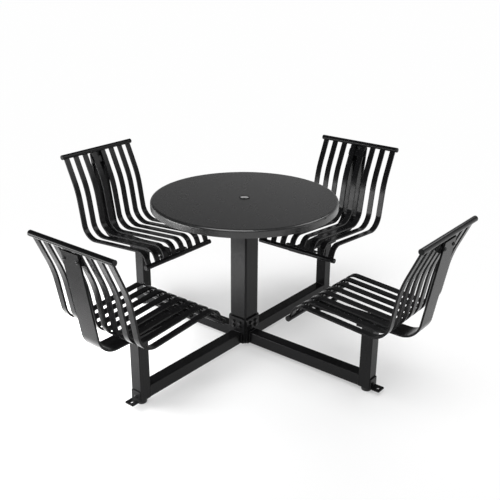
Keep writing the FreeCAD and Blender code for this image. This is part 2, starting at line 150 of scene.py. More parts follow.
FRAME_BEAD = 0.05
RIB_BEAD = 0.078
ARM_END_INSET = 0.0012
RIB_MIDDLE = 0.1
RIB_SIDE = 0.003
STRAP_COUNT = 8
STRAP_PITCH = 0.0635
STRAP_BEAD = 0.03
STRAP_WELD_RADIUS = 0.013
STRAP_WELD_SIDE = 0.0048
STRAP_WELD_ANGLES = {"front_rail": 68.2, "top_rail": 246.0}
SPINE_BEAD = 0.098
SPINE_INNER_WELD = (0.0112, 0.0004)
SPINE_OUTER_WELD = (-0.0006, -0.014)
SPINE_TOP_BEAD = 0.105
BLOCK_WELDS = ((1.0524, 0.8172), (1.0382, 0.7852))

# Levelling feet, as rings of radius and height in metres

FOOT_BASE = (
    (0.0200, 0.0), (0.0228, 0.0010), (0.0240, 0.0040), (0.0240, 0.0118),
    (0.0231, 0.0128), (0.0231, 0.0140), (0.0240, 0.0150),
)
FOOT_SHOULDER = ((0.0240, -0.0018), (0.0228, -0.0002), (0.0086, 0.0))
THREAD_TURN = ((0.0080, 0.0), (0.0080, 0.0004), (0.0071, 0.0012))
THREAD_PITCH = 0.002
THREAD_START = 0.001
THREAD_END = 0.003
STEM_TIP = ((0.0071, -0.0012), (0.0060, 0.0))

# Studio

FLOOR_SPAN = (0.8, 1.7)
WALL_TOP = 0.06
CEILING_START = 0.42
WALL_SPAN = (-0.5, 0.5)
LOW_WALL_SPAN = (0.08, 0.2)
TOP_LIGHT_SPREAD = math.radians(50)
TOP_LIGHT_AIM = (-0.08, 0.38, -0.92)
SENSOR_WIDTH = 36.0
VIEW_DEPTH = 400.0


class TableCoatSettings(bpy.types.PropertyGroup):
    """Finishes of the table."""

    black: bpy.props.FloatVectorProperty(
        name="Black coat", description="Powder coat of the frame and the seats",
        subtype="COLOR", default=(0.006, 0.006, 0.0064),
    )
    black_roughness: bpy.props.FloatProperty(
        name="Black roughness", description="Roughness of the black coat",
        subtype="FACTOR", default=0.2,
    )
    charcoal: bpy.props.FloatVectorProperty(
        name="Charcoal coat", description="Powder coat of the table top",
        subtype="COLOR", default=(0.018, 0.018, 0.0184),
    )
    charcoal_roughness: bpy.props.FloatProperty(
        name="Charcoal roughness", description="Roughness of the charcoal coat",
        subtype="FACTOR", default=0.24,
    )
    zinc: bpy.props.FloatVectorProperty(
        name="Zinc", description="Plated collar in the umbrella hole",
        subtype="COLOR", default=(0.95, 0.95, 0.95),
    )
    nylon: bpy.props.FloatVectorProperty(
        name="Nylon", description="Bushes and thrust washers",
        subtype="COLOR", default=(0.62, 0.61, 0.57),
    )
    foot: bpy.props.FloatVectorProperty(
        name="Foot", description="Finish of the levelling feet",
        subtype="COLOR", default=(0.014, 0.014, 0.014),
    )
    grain: bpy.props.FloatProperty(
        name="Coat grain", description="Size of the orange peel in the coat",
        subtype="DISTANCE", default=0.0016,
    )


class TableMetalSettings(bpy.types.PropertyGroup):
    """Edges and welds."""

    plate_ease: bpy.props.FloatProperty(
        name="Plate edge", description="Rounding of the sheared plate edges",
        subtype="DISTANCE", default=0.0011,
    )
    strap_ease: bpy.props.FloatProperty(
        name="Strap edge", description="Rounding of the strap edges",
        subtype="DISTANCE", default=0.0013,
    )
    bead: bpy.props.FloatProperty(
        name="Weld bead", description="Radius of a frame weld",
        subtype="DISTANCE", default=0.0025,
    )
    fine_bead: bpy.props.FloatProperty(
        name="Fine bead", description="Radius of a strap weld",
        subtype="DISTANCE", default=0.0017,
    )


class TableStageSettings(bpy.types.PropertyGroup):
    """Floor, light and camera."""

    floor_color: bpy.props.FloatVectorProperty(
        name="Floor", description="Colour of the studio floor",
        subtype="COLOR", default=(0.93, 0.93, 0.93),
    )
    floor_size: bpy.props.FloatProperty(
        name="Floor size", description="Side of the floor", subtype="DISTANCE", default=160.0
    )
    floor_near: bpy.props.FloatProperty(
        name="White near", description="Share of plain white in the floor under the table",
        subtype="FACTOR", default=0.38,
    )
    floor_far: bpy.props.FloatProperty(
        name="White far", description="Share of plain white in the floor away from the table",
        subtype="FACTOR", default=0.97,
    )
    horizon: bpy.props.FloatProperty(
        name="Horizon", description="Level of the studio walls", default=1.0
    )
    ceiling: bpy.props.FloatProperty(
        name="Ceiling", description="Level of the studio ceiling", default=0.14
    )
    left_wall: bpy.props.FloatProperty(
        name="Left wall", description="Share of the light that the left wall gives higher up",
        subtype="FACTOR", default=0.1,
    )
    top_light: bpy.props.FloatProperty(
        name="Top light", description="Level of the soft overhead light", default=2.45
    )
    left_light: bpy.props.FloatProperty(
        name="Left light", description="Power of the left soft box in watts", default=45.0
    )
    floor_light: bpy.props.FloatProperty(
        name="Floor light", description="Power of the soft box over the left floor in watts",
        default=65.0,
    )
    back_light: bpy.props.FloatProperty(
        name="Back light", description="Power of the soft box behind the table in watts",
        default=17.0,
    )
    right_light: bpy.props.FloatProperty(
        name="Right light", description="Power of the right soft box in watts", default=4.0
    )
    camera_place: bpy.props.FloatVectorProperty(
        name="Camera", description="Place of the camera", subtype="XYZ", unit="LENGTH",
        default=(2.2445, -2.7907, 1.9524),
    )
    camera_azimuth: bpy.props.FloatProperty(
        name="Azimuth", description="Turn of the camera round the table",
        subtype="ANGLE", default=math.radians(38.36),
    )
    camera_elevation: bpy.props.FloatProperty(
        name="Elevation", description="Height angle of the camera",
        subtype="ANGLE", default=math.radians(21.89),
    )
    camera_roll: bpy.props.FloatProperty(
        name="Roll", description="Lean of the camera",
        subtype="ANGLE", default=math.radians(0.45),
    )
    camera_lens: bpy.props.FloatProperty(
        name="Lens", description="Focal length", unit="CAMERA", default=55.7
    )


# Materials


def new_material(name):
    """An empty node material with its shader and output."""
    material = bpy.data.materials.new(name)
    material.use_nodes = True
    nodes = material.node_tree.nodes
    nodes.clear()
    shader = nodes.new("ShaderNodeBsdfPrincipled")
    output = nodes.new("ShaderNodeOutputMaterial")
    material.node_tree.links.new(shader.outputs["BSDF"], output.inputs["Surface"])
    return material, shader


def noise_field(material, coordinates, scale, detail):
    """A noise pattern fixed to the piece."""
    noise = material.node_tree.nodes.new("ShaderNodeTexNoise")
    noise.inputs["Scale"].default_value = scale
    noise.inputs["Detail"].default_value = detail
    material.node_tree.links.new(coordinates.outputs["Object"], noise.inputs["Vector"])
    return noise.outputs["Fac"]


def value_band(material, source, low, high, span=PATTERN_SPAN):
    """A pattern turned into a value between two levels."""
    band = material.node_tree.nodes.new("ShaderNodeMapRange")
    band.inputs["From Min"].default_value = span[0]
    band.inputs["From Max"].default_value = span[1]
    band.inputs["To Min"].default_value = low
    band.inputs["To Max"].default_value = high
    material.node_tree.links.new(source, band.inputs["Value"])
    return band.outputs["Result"]


def colour_band(material, source, low, high, span=PATTERN_SPAN):
    """A pattern turned into a colour between two colours."""
    ramp = material.node_tree.nodes.new("ShaderNodeValToRGB")
    for element, place, colour in zip(ramp.color_ramp.elements, span, (low, high)):
        element.position = place
        element.color = (*colour, 1.0)
    material.node_tree.links.new(source, ramp.inputs["Fac"])
    return ramp.outputs["Color"]


def math_node(tree, operation, first, second):
    """A math node between two outputs."""
    node = tree.nodes.new("ShaderNodeMath")
    node.operation = operation
    tree.links.new(first, node.inputs[0])
    tree.links.new(second, node.inputs[1])
    return node.outputs["Value"]


def shade(colour, factor):
    """A colour made darker or lighter."""
    return tuple(min(1.0, channel * factor) for channel in colour)


def add_bump(material, shader, height, strength, distance):
    """Small relief from a height pattern."""
    bump = material.node_tree.nodes.new("ShaderNodeBump")
    bump.inputs["Strength"].default_value = strength
    bump.inputs["Distance"].default_value = distance
    material.node_tree.links.new(height, bump.inputs["Height"])
    material.node_tree.links.new(bump.outputs["Normal"], shader.inputs["Normal"])


def powder_coat(name, colour, grain, roughness, specular, peel, spread=0.1):
    """Powder coat: orange peel, slightly uneven gloss and tone."""
    material, shader = new_material(name)
    links = material.node_tree.links
    coordinates = material.node_tree.nodes.new("ShaderNodeTexCoord")
    patches = noise_field(material, coordinates, PATCH_SCALE, PATTERN_DETAIL)
    tone = colour_band(material, patches, shade(colour, 1 - spread), shade(colour, 1 + spread))
    links.new(tone, shader.inputs["Base Color"])
    smears = noise_field(material, coordinates, SMEAR_SCALE, PATTERN_DETAIL)
    gloss = value_band(material, smears, roughness - GLOSS_FALL, roughness + GLOSS_RISE)
    links.new(gloss, shader.inputs["Roughness"])
    relief = noise_field(material, coordinates, 1.0 / grain, PEEL_DETAIL)
    add_bump(material, shader, relief, peel, grain * PEEL_DEPTH)
    shader.inputs["IOR"].default_value = COAT_IOR
    shader.inputs["Specular IOR Level"].default_value = specular
    return material


def plated_liner(coat):
    """Umbrella hole liner: black coat on the flange, a brushed zinc collar under the flange, and
    black painted shade down the bore below the collar.
    """
    material, shader = new_material("liner_zinc_coat_and_painted_shade")
    nodes, links = material.node_tree.nodes, material.node_tree.links
    coordinates = nodes.new("ShaderNodeTexCoord")
    split = nodes.new("ShaderNodeSeparateXYZ")
    links.new(coordinates.outputs["Object"], split.inputs["Vector"])
    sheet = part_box("table_top")[1].z
    flange_edge = [sheet + height for height in FLANGE_EDGE]
    collar_end = [sheet + height for height in COLLAR_END]
    above = value_band(material, split.outputs["Z"], 0.0, 1.0, flange_edge)
    # Below the zinc collar the bore is painted black: painted shade for the dark depth of the hole
    below = value_band(material, split.outputs["Z"], 1.0, 0.0, collar_end)
    coat_and_painted_shade = math_node(material.node_tree, "MAXIMUM", above, below)
    tone = colour_band(material, coat_and_painted_shade, coat.zinc, coat.black, FULL_SPAN)
    links.new(tone, shader.inputs["Base Color"])
    metallic = value_band(material, coat_and_painted_shade, ZINC_METALLIC, 0.0, FULL_SPAN)
    links.new(metallic, shader.inputs["Metallic"])
    dull = coat.black_roughness + LINER_DULLING
    gloss = value_band(material, coat_and_painted_shade, ZINC_ROUGHNESS, dull, FULL_SPAN)
    links.new(gloss, shader.inputs["Roughness"])
    shader.inputs["Specular IOR Level"].default_value = LINER_SPECULAR
    stretch = nodes.new("ShaderNodeMapping")
    stretch.inputs["Scale"].default_value = BRUSH_SCALE
    links.new(coordinates.outputs["Object"], stretch.inputs["Vector"])
    rings = nodes.new("ShaderNodeTexNoise")
    rings.inputs["Scale"].default_value = 1.0
    links.new(stretch.outputs["Vector"], rings.inputs["Vector"])
    add_bump(material, shader, rings.outputs["Fac"], BRUSH_STRENGTH, BRUSH_DEPTH)
    return material


def set_material(piece, material):
    """Give a piece its finish."""
    piece.data.materials.clear()
    piece.data.materials.append(material)


def coat_nodes(names, material):
    """Give CAD nodes that stay their finish."""
    for name in names:
        set_material(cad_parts[name], material)


# Modelling


def make_active(piece):
    """Select one piece alone."""
    bpy.ops.object.select_all(action="DESELECT")
    piece.select_set(True)
    bpy.context.view_layer.objects.active = piece


def new_piece(name, mesh):
    """An object at the origin that holds a mesh."""
    piece = bpy.data.objects.new(name, mesh)
    bpy.context.scene.collection.objects.link(piece)
    return piece


def remove_piece(piece):
    """Delete a helper piece with its mesh."""
    mesh = piece.data
    bpy.data.objects.remove(piece)
    bpy.data.meshes.remove(mesh)


def apply_modifier(piece, kind, **values):
    """Add one modifier and apply it."""
    make_active(piece)
    modifier = piece.modifiers.new(kind.lower(), kind)
    for name, value in values.items():
        setattr(modifier, name, value)
    bpy.ops.object.modifier_apply(modifier=modifier.name)


def smooth_edges(piece, angle):
    """Smooth shading over edges below an angle."""
    make_active(piece)
    bpy.ops.object.shade_smooth_by_angle(angle=angle)


def merge_points(piece, distance):
    """Merge points that lie together and drop faces without area."""
    make_active(piece)
    bpy.ops.object.mode_set(mode="EDIT")
    bpy.ops.mesh.select_all(action="SELECT")
    bpy.ops.mesh.remove_doubles(threshold=distance)
    bpy.ops.mesh.dissolve_degenerate(threshold=distance)
    bpy.ops.object.mode_set(mode="OBJECT")


def eased_copy(node, name, ease):
    """A merged copy of a CAD node with its sharp edges rounded and its flat faces kept flat."""
    piece = new_piece(name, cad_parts[node].data.copy())
    make_active(piece)
    bpy.ops.mesh.customdata_custom_splitnormals_clear()
    merge_points(piece, MERGE_DISTANCE)
    bpy.ops.object.mode_set(mode="EDIT")
    bpy.ops.mesh.select_all(action="SELECT")
    bpy.ops.mesh.dissolve_limited(angle_limit=FLAT_ANGLE)
    bpy.ops.object.mode_set(mode="OBJECT")
    apply_modifier(
        piece, "BEVEL", width=ease, segments=2, limit_method="ANGLE", angle_limit=SHARP_ANGLE,
        use_clamp_overlap=False,
    )
    merge_points(piece, CLEAN_DISTANCE)
    smooth_edges(piece, EASED_SMOOTHING)
    apply_modifier(piece, "WEIGHTED_NORMAL", keep_sharp=True)
    return piece


def turned_copy(piece, name, angle):
    """A copy with its own mesh, turned about the column."""
    copy = new_piece(name, piece.data.copy())
    copy.rotation_euler.z = angle
    make_active(copy)
    bpy.ops.object.transform_apply(location=False, rotation=True, scale=False)
    return copy


def placed_copy(piece, place, axis, start_axis):
    """A copy turned from its own axis to a direction and moved to a place."""
    copy = new_piece(piece.name, piece.data.copy())
    copy.rotation_euler = Vector(start_axis).rotation_difference(Vector(axis)).to_euler()
    copy.location = place
    make_active(copy)
    bpy.ops.object.transform_apply(location=True, rotation=True, scale=False)
    return copy


def move_out(piece, distance):
    """Move a piece outwards from the column axis."""
    piece.location.x = distance
    make_active(piece)
    bpy.ops.object.transform_apply(location=True, rotation=False, scale=False)


def join_pieces(pieces, name):
    """Join pieces into one."""
    make_active(pieces[0])
    for piece in pieces[1:]:
        piece.select_set(True)
    bpy.ops.object.join()
    joined = bpy.context.view_layer.objects.active
    joined.name = name
    return joined


def join_four(piece, name):
    """A piece of one arm, copied to the other arms and joined."""
    copies = [turned_copy(piece, name, QUARTER * number) for number in (1, 2, 3)]
    return join_pieces([piece, *copies], name)


def round_posts(first, kind, ending):
    """The piece of post 1 and then its copies at the other posts, each with its number."""
    for seat in SEATS:
        name = f"{kind}_{seat}_{ending}"
        yield seat, first if seat == 1 else turned_copy(first, name, QUARTER * (seat - 1))


def start_ring(name, vertices, radius, place, turn=(0, 0, 0)):
    """A filled ring to extrude, selected in edit mode."""
    bpy.ops.object.select_all(action="DESELECT")
    bpy.ops.mesh.primitive_circle_add(
        vertices=vertices, radius=radius, fill_type="NGON", location=place, rotation=turn
    )
    piece = bpy.context.view_layer.objects.active
    piece.name = name
    bpy.ops.object.transform_apply(location=True, rotation=True, scale=False)
    bpy.ops.object.mode_set(mode="EDIT")
    bpy.ops.mesh.select_all(action="SELECT")
    return piece


def end_ring():
    """Turn the faces of an extruded ring outwards and leave edit mode."""
    bpy.ops.mesh.select_all(action="SELECT")
    bpy.ops.mesh.normals_make_consistent(inside=False)
    bpy.ops.object.mode_set(mode="OBJECT")


def turned_profile(name, rings, vertices):
    """A solid of revolution on Z, extruded ring by ring from rings of radius and height."""
    radius, height = rings[0]
    piece = start_ring(name, vertices, radius, (0, 0, height))
    for next_radius, next_height in rings[1:]:
        rise = (0, 0, next_height - height)
        bpy.ops.mesh.extrude_region_move(TRANSFORM_OT_translate={"value": rise})
        share = next_radius / radius
        bpy.ops.transform.resize(value=(share, share, 1), center_override=(0, 0, next_height))
        radius, height = next_radius, next_height
    end_ring()
    return piece


def settle(piece, body, slot, material, *nodes):
    """Give a finished piece its finish and its body, and hide the CAD nodes that it stands for."""
    set_material(piece, material)
    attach(piece, body)
    if nodes:
        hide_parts(*nodes)


# Bolts


def corner_radius(flats):
    """Corner radius of a hexagon from its width over the flats."""
    return flats / math.sqrt(3)


def shank_rings(shank, length):
    """Rings of a shank with a short tip, up to the seat of its head at 0."""
    return [(shank * TIP_SHARE, -length), (shank * 0.5, TIP_LENGTH - length), (shank * 0.5, 0.0)]


def cut_hex(piece, operation, corner, depth, middle):
    """Cut a hexagon out of a piece, or cut the piece down to one."""
    bpy.ops.object.select_all(action="DESELECT")
    bpy.ops.mesh.primitive_cylinder_add(
        vertices=6, radius=corner, depth=depth, location=(0, 0, middle)
    )
    cutter = bpy.context.view_layer.objects.active
    apply_modifier(piece, "BOOLEAN", operation=operation, solver="EXACT", object=cutter)
    remove_piece(cutter)


def socket_bolt(name, head, height, shank, length, key):
    """Button head bolt with a hex socket: seat of the head at 0, shank below."""
    rings = shank_rings(shank, length)
    rings += [(head * width, height * level) for width, level in BUTTON_HEAD]
    bolt = turned_profile(name, rings, HEAD_VERTICES)
    cut_hex(bolt, "DIFFERENCE", corner_radius(key), depth=height, middle=height)
    smooth_edges(bolt, BOLT_SMOOTHING)
    return bolt


def hex_bolt(name, flats, height, shank, length):
    """Hex head bolt on a plain washer: underside of the washer at 0, shank below."""
    corner = corner_radius(flats)
    rings = [
        (corner * HEX_SEAT, WASHER * 0.5),
        (corner * HEX_BLANK, WASHER * 0.5),
        (corner * HEX_BLANK, height - HEX_CHAMFER),
        (corner * HEX_TOP, height),
    ]
    head = turned_profile(name, rings, TURNED_VERTICES)
    cut_hex(head, "INTERSECT", corner, depth=height * 4, middle=0)
    merge_points(head, MERGE_DISTANCE)
    rings = shank_rings(shank, length) + [
        (corner * WASHER_FLAT, 0.0),
        (corner * WASHER_RIM, WASHER_EDGE),
        (corner * WASHER_RIM, WASHER - WASHER_EDGE),
        (corner * WASHER_FLAT, WASHER),
        (shank * 0.5, WASHER),
    ]
    bolt = join_pieces([head, turned_profile("washer", rings, TURNED_VERTICES)], name)
    smooth_edges(bolt, HEX_SMOOTHING)
    return bolt


def set_bolts(node, bolt, places, material):
    """Bolts of one arm copied to every arm, joined, in place of their CAD node."""
    name = f"{node}_set"
    first = join_pieces([placed_copy(bolt, place, OUTWARD, UPWARD) for place in places], name)
    settle(join_four(first, name), "base", "black_coat", material, node)
    remove_piece(bolt)


# Welds


def weld_bead(length, radius):
    """One weld bead along X at the origin: ripples of the weld pool, drawn in at both ends."""
    steps = max(FEWEST_RIPPLES, round(length / (radius * RIPPLE_PITCH)))
    step = length / steps
    start = (-length / 2, 0, 0)
    bead = start_ring("weld_bead", BEAD_VERTICES, radius * BEAD_END, start, (0, QUARTER, 0))
    level = BEAD_END
    for number in range(1, steps + 1):
        bpy.ops.mesh.extrude_region_move(TRANSFORM_OT_translate={"value": (step, 0, 0)})
        wanted = BEAD_END if number == steps else (1.0 if number % 2 else RIPPLE_LOW)
        share = wanted / level
        middle = (number * step - length / 2, 0, 0)
        bpy.ops.transform.resize(value=(1, share, share), center_override=middle)
        level = wanted
    end_ring()
    bpy.ops.object.shade_smooth()
    return bead


def lay_beads(name, radius, lines):
    """Beads on lines of middle, direction and length, joined into one piece."""
    patterns = {}
    beads = []
    for middle, along, length in lines:
        if length not in patterns:
            patterns[length] = weld_bead(length, radius)
        beads.append(placed_copy(patterns[length], middle, along, OUTWARD))
    for pattern in patterns.values():
        remove_piece(pattern)
    return join_pieces(beads, name)


def frame_weld_lines():
    """Lines of the welds of arm 1, its post, one face of the column and one rib."""
    arm_low, arm_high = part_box("arm_1")
    post_low, post_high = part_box("post_1")
    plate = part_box("top_plate")[0].z
    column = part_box("column")[1].x
    half = arm_high.y
    middle = (arm_low.z + arm_high.z) / 2
    post = (post_low.x + post_high.x) / 2
    lines = [
        ((arm_low.x, 0, arm_high.z), ACROSS, FRAME_BEAD),
        ((arm_high.x, 0, arm_high.z), ACROSS, FRAME_BEAD),
        ((post_low.x, 0, post_high.z), ACROSS, FRAME_BEAD),
        ((post_high.x, 0, post_high.z), ACROSS, FRAME_BEAD),
        ((column, 0, plate), ACROSS, RIB_BEAD),
    ]
    for side in SIDES:
        arm_end = (arm_high.x + ARM_END_INSET, side * (half - ARM_END_INSET), middle)
        lines += [
            ((arm_low.x, side * half, middle), UPWARD, FRAME_BEAD),
            (arm_end, UPWARD, FRAME_BEAD),
            ((post, side * half, post_high.z), OUTWARD, FRAME_BEAD),
            ((RIB_MIDDLE, side * RIB_SIDE, plate), OUTWARD, RIB_BEAD),
        ]
    return lines


def middle_of(node):
    """Middle of a CAD node's box."""
    low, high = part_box(node)
    return (low + high) / 2


def strap_weld_lines():
    """Lines of the two welds of each strap on both rails of seat 1."""
    lines = []
    for rail, degrees in STRAP_WELD_ANGLES.items():
        centre = middle_of(f"seat_1_{rail}")
        angle = math.radians(degrees)
        along = Vector((math.cos(angle), 0, math.sin(angle)))
        square = Vector((-along.z, 0, along.x))
        for number in range(STRAP_COUNT):
            strap = Vector((0, (number - (STRAP_COUNT - 1) / 2) * STRAP_PITCH, 0))
            place = centre + along * STRAP_WELD_RADIUS + strap
            for side in SIDES:
                lines.append((place + square * side * STRAP_WELD_SIDE, ACROSS, STRAP_BEAD))
    return lines


def spine_weld_lines():
    """Lines of the welds of the spine on the front rail, the bar and the block of seat 1."""
    rail = middle_of("seat_1_front_rail")
    bar_low, bar_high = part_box("seat_1_cross_bar")
    inner, outer = SPINE_INNER_WELD, SPINE_OUTER_WELD
    lines = [
        ((rail.x + inner[0], 0, bar_low.z + inner[1]), ACROSS, SPINE_BEAD),
        ((rail.x + outer[0], 0, rail.z + outer[1]), ACROSS, SPINE_BEAD),
        ((bar_low.x, 0, bar_low.z), ACROSS, SPINE_BEAD),
        ((bar_high.x, 0, bar_low.z), ACROSS, SPINE_BEAD),
    ]
    for side in SIDES:
        for radius, height in BLOCK_WELDS:
            lines.append(((radius, side * STRAP_PITCH / 2, height), ACROSS, STRAP_BEAD))
    return lines


def spine_top_line():
    """Line of the weld between the top of the spine and the top rail of seat 1."""
    low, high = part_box("seat_1_top_rail")
    height = (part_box("seat_1_spine")[1].z + low.z) / 2
    return ((low.x + high.x) / 2, 0, height), ACROSS, SPINE_TOP_BEAD


# Pieces


class TABLE_OT_coat_frame(bpy.types.Operator):
    """Coat the column, the arms, the posts and the end plates"""

    bl_idname = "table.coat_frame"
    bl_label = "Coat the frame"

    def execute(self, context):
        coat = context.scene.table_coat
        material = powder_coat(
            "black_powder_coat", coat.black, coat.grain,
            roughness=coat.black_roughness, specular=BLACK_SPECULAR, peel=0.2,
        )
        powder_coat(
            "black_weld_coat", coat.black, coat.grain,
            roughness=coat.black_roughness + WELD_DULLING, specular=BLACK_SPECULAR, peel=0.4,
        )
        names = ["column", "column_cap", "post_end_plates"]
        names += [f"{kind}_{seat}" for kind in ("arm", "post") for seat in SEATS]
        coat_nodes(names, material)
        return {"FINISHED"}


class TABLE_OT_ease_plates(bpy.types.Operator):
    """Round the edges of the plates, ribs, clips and swivel bases of the frame"""

    bl_idname = "table.ease_plates"
    bl_label = "Ease the plates"

    def execute(self, context):
        material = bpy.data.materials["black_powder_coat"]
        ease = context.scene.table_metal.plate_ease
        for node in ("top_plate", "top_ribs", "hub_plates", "anchor_clips", "swivel_bases"):
            piece = eased_copy(node, f"{node}_eased", ease)
            settle(piece, "base", "black_coat", material, node)
        return {"FINISHED"}


class TABLE_OT_press_top(bpy.types.Operator):
    """Round the cut edges of the pressed table top and coat it"""

    bl_idname = "table.press_top"
    bl_label = "Press the top"

    def execute(self, context):
        coat = context.scene.table_coat
        material = powder_coat(
            "charcoal_powder_coat", coat.charcoal, coat.grain,
            roughness=coat.charcoal_roughness, specular=0.7, peel=0.04, spread=0.02,
        )
        ease = context.scene.table_metal.plate_ease
        top = eased_copy("table_top", "table_top_pressed", ease)
        settle(top, "base", "top_coat", material, "table_top")
        return {"FINISHED"}


class TABLE_OT_line_umbrella_hole(bpy.types.Operator):
    """Finish the umbrella liner: black coat on the flange, a plated collar, and black painted shade
    down the bore
    """

    bl_idname = "table.line_umbrella_hole"
    bl_label = "Line the umbrella hole"

    def execute(self, context):
        coat_nodes(["umbrella_liner"], plated_liner(context.scene.table_coat))
        return {"FINISHED"}


class TABLE_OT_bend_seats(bpy.types.Operator):
    """Round the edges of the straps, spines, bars, blocks and swivel plates, and coat the rails"""

    bl_idname = "table.bend_seats"
    bl_label = "Bend the seats"

    def execute(self, context):
        material = bpy.data.materials["black_powder_coat"]
        metal = context.scene.table_metal
        kinds = {
            "straps": metal.strap_ease,
            "spine": metal.strap_ease,
            "cross_bar": metal.plate_ease,
            "back_block": metal.plate_ease,
            "swivel": metal.plate_ease,
        }
        for kind, ease in kinds.items():
            first = eased_copy(f"seat_1_{kind}", f"seat_1_{kind}_eased", ease)
            for seat, piece in round_posts(first, "seat", f"{kind}_eased"):
                settle(piece, f"seat_{seat}", "black_coat", material, f"seat_{seat}_{kind}")
        for seat in SEATS:
            coat_nodes([f"seat_{seat}_top_rail", f"seat_{seat}_front_rail"], material)
        return {"FINISHED"}


class TABLE_OT_weld_frame(bpy.types.Operator):
    """Lay the weld beads of the arms, posts, column and ribs"""

    bl_idname = "table.weld_frame"
    bl_label = "Weld the frame"

    def execute(self, context):
        first = lay_beads("frame_welds", context.scene.table_metal.bead, frame_weld_lines())
        welds = join_four(first, "frame_welds")
        settle(welds, "base", "black_coat", bpy.data.materials["black_weld_coat"])
        return {"FINISHED"}


class TABLE_OT_weld_seats(bpy.types.Operator):
    """Lay the weld beads of the straps, spine, bar and block of each seat"""

    bl_idname = "table.weld_seats"
    bl_label = "Weld the seats"

    def execute(self, context):
        metal = context.scene.table_metal
        lines = strap_weld_lines() + spine_weld_lines()
        fine = lay_beads("fine_welds", metal.fine_bead, lines)
        closing = lay_beads("spine_weld", metal.bead, [spine_top_line()])
        first = join_pieces([fine, closing], "seat_1_welds")
        material = bpy.data.materials["black_weld_coat"]
        for seat, welds in round_posts(first, "seat", "welds"):
            settle(welds, f"seat_{seat}", "black_coat", material)
        return {"FINISHED"}


class TABLE_OT_bolt_frame(bpy.types.Operator):
    """Set the hex bolts of the hub plates and the socket bolts of the anchor clips"""

    bl_idname = "table.bolt_frame"
    bl_label = "Bolt the frame"

    def execute(self, context):
        coat = context.scene.table_coat
        material = powder_coat(
            "black_bolt_finish", shade(coat.black, BOLT_SHADE), coat.grain,
            roughness=0.26, specular=0.4, peel=0.1,
        )
        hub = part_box("hub_plates")[1].x
        heights = HUB_BOLT_HEIGHTS
        places = [(hub, side * HUB_BOLT_SIDE, height) for side in SIDES for height in heights]
        set_bolts("hub_bolts", hex_bolt("hub_bolt", **HUB_BOLT), places, material)
        post_low, post_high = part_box("post_1")
        clip = (post_high.x + CLIP_THICKNESS, 0, post_low.z + CLIP_BOLT_HEIGHT)
        set_bolts("anchor_bolts", socket_bolt("anchor_bolt", **ANCHOR_BOLT), [clip], material)
        return {"FINISHED"}


class TABLE_OT_bolt_seats(bpy.types.Operator):
    """Set the back bolts, the swivel bolts and the kingpin retainer of each seat"""

    bl_idname = "table.bolt_seats"
    bl_label = "Bolt the seats"

    def execute(self, context):
        back = socket_bolt("back_bolt", **BACK_BOLT)
        swivel = socket_bolt("swivel_bolt", **SWIVEL_BOLT)
        lean = (math.cos(BACK_LEAN), 0, -math.sin(BACK_LEAN))
        pieces = []
        for side in SIDES:
            place = (BACK_BOLT_RADIUS, side * SEAT_BOLT_SIDE, BACK_BOLT_HEIGHT)
            pieces.append(placed_copy(back, place, lean, UPWARD))
        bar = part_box("seat_1_cross_bar")[0].z
        for radius in SWIVEL_BOLT_RADII:
            for side in SIDES:
                place = (radius, side * SEAT_BOLT_SIDE, bar)
                pieces.append(placed_copy(swivel, place, UPWARD, UPWARD))
        retainer = turned_profile("retainer", RETAINER, TURNED_VERTICES)
        move_out(retainer, POST_RADIUS)
        smooth_edges(retainer, BOLT_SMOOTHING)
        first = join_pieces([*pieces, retainer], "seat_1_bolts_set")
        for pattern in (back, swivel):
            remove_piece(pattern)
        material = bpy.data.materials["black_bolt_finish"]
        for seat, bolts in round_posts(first, "seat", "bolts_set"):
            settle(bolts, f"seat_{seat}", "black_coat", material, f"seat_{seat}_bolts")
        return {"FINISHED"}


class TABLE_OT_turn_feet(bpy.types.Operator):
    """Turn the levelling feet with their threaded stems"""

    bl_idname = "table.turn_feet"
    bl_label = "Turn the feet"

    def execute(self, context):
        coat = context.scene.table_coat
        material = powder_coat(
            "black_foot_finish", coat.foot, coat.grain, roughness=0.42, specular=0.35, peel=0.25
        )
        low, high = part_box("foot_1")
        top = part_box("post_1")[0].z
        rings = [*FOOT_BASE]
        rings += [(radius, top + height) for radius, height in FOOT_SHOULDER]
        start = top + THREAD_START
        while start < high.z - THREAD_END:
            rings += [(radius, start + height) for radius, height in THREAD_TURN]
            start += THREAD_PITCH
        rings += [(radius, high.z + height) for radius, height in STEM_TIP]
        first = turned_profile("foot_1_turned", rings, TURNED_VERTICES)
        move_out(first, (low.x + high.x) / 2)
        smooth_edges(first, FOOT_SMOOTHING)
        for seat, foot in round_posts(first, "foot", "turned"):
            settle(foot, f"foot_{seat}", "foot", material, f"foot_{seat}")
        return {"FINISHED"}


class TABLE_OT_fit_bearings(bpy.types.Operator):
    """Finish the nylon bushes and thrust washers of the swivels"""

    bl_idname = "table.fit_bearings"
    bl_label = "Fit the bearings"

    def execute(self, context):
        coat = context.scene.table_coat
        material = powder_coat(
            "plain_nylon", coat.nylon, coat.grain,
            roughness=0.5, specular=0.4, peel=0.1, spread=0.04,
        )
        coat_nodes(["swivel_bushes", "thrust_washers"], material)
        return {"FINISHED"}


# Stage


def place_camera(stage):
    """Camera at the viewpoint of the picture."""
    azimuth = stage.camera_azimuth
    elevation = stage.camera_elevation
    roll = stage.camera_roll
    back = Vector((
        math.sin(azimuth) * math.cos(elevation),
        -math.cos(azimuth) * math.cos(elevation),
        math.sin(elevation),
    ))
    right = (-back).cross(Vector(UPWARD)).normalized()
    up = right.cross(-back)
    level_right = math.cos(roll) * right + math.sin(roll) * up
    level_up = math.cos(roll) * up - math.sin(roll) * right
    data = bpy.data.cameras.new("picture_camera")
    data.lens = stage.camera_lens
    data.sensor_width = SENSOR_WIDTH
    data.clip_end = VIEW_DEPTH
    camera = bpy.data.objects.new("picture_camera", data)
    turned = Matrix((level_right, level_up, back)).transposed().to_4x4()
    camera.matrix_world = Matrix.Translation(stage.camera_place) @ turned
    bpy.context.scene.collection.objects.link(camera)
    bpy.context.scene.camera = camera


